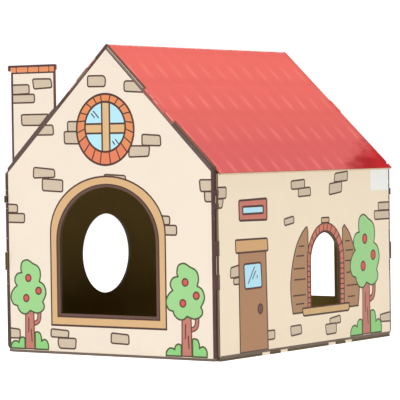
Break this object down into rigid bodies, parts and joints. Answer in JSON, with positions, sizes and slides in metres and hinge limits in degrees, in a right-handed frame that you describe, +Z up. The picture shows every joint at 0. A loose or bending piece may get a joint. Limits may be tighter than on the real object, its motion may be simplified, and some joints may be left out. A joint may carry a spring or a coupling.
{
  "type": "cardboard cat house",
  "caption": "House-shaped cardboard shelter for a cat, with a pitched roof, a chimney, arched entrances at both ends and openings in the side walls, printed like a cottage.",
  "frame": {"origin": "middle of the footprint on the ground", "axes": "+X to the viewer's right across the front, +Y from the front towards the back, +Z up"},
  "size_m": [0.41, 0.515, 0.475],
  "materials": {
    "gable_print": "cream satin print on corrugated paper board, brown board inside and at the cut edges",
    "wall_print": "cream satin print on corrugated paper board, brown board inside and at the cut edges",
    "roof_print": "red satin print on corrugated paper board, brown board inside and at the cut edges",
    "bare_board": "bare brown corrugated paper board"
  },
  "bodies": {
    "root": {"front_panel": "gable_print", "back_panel": "gable_print", "right_wall": "wall_print", "left_wall": "wall_print", "roof": "roof_print", "floor": "bare_board"}
  },
  "joints": []
}
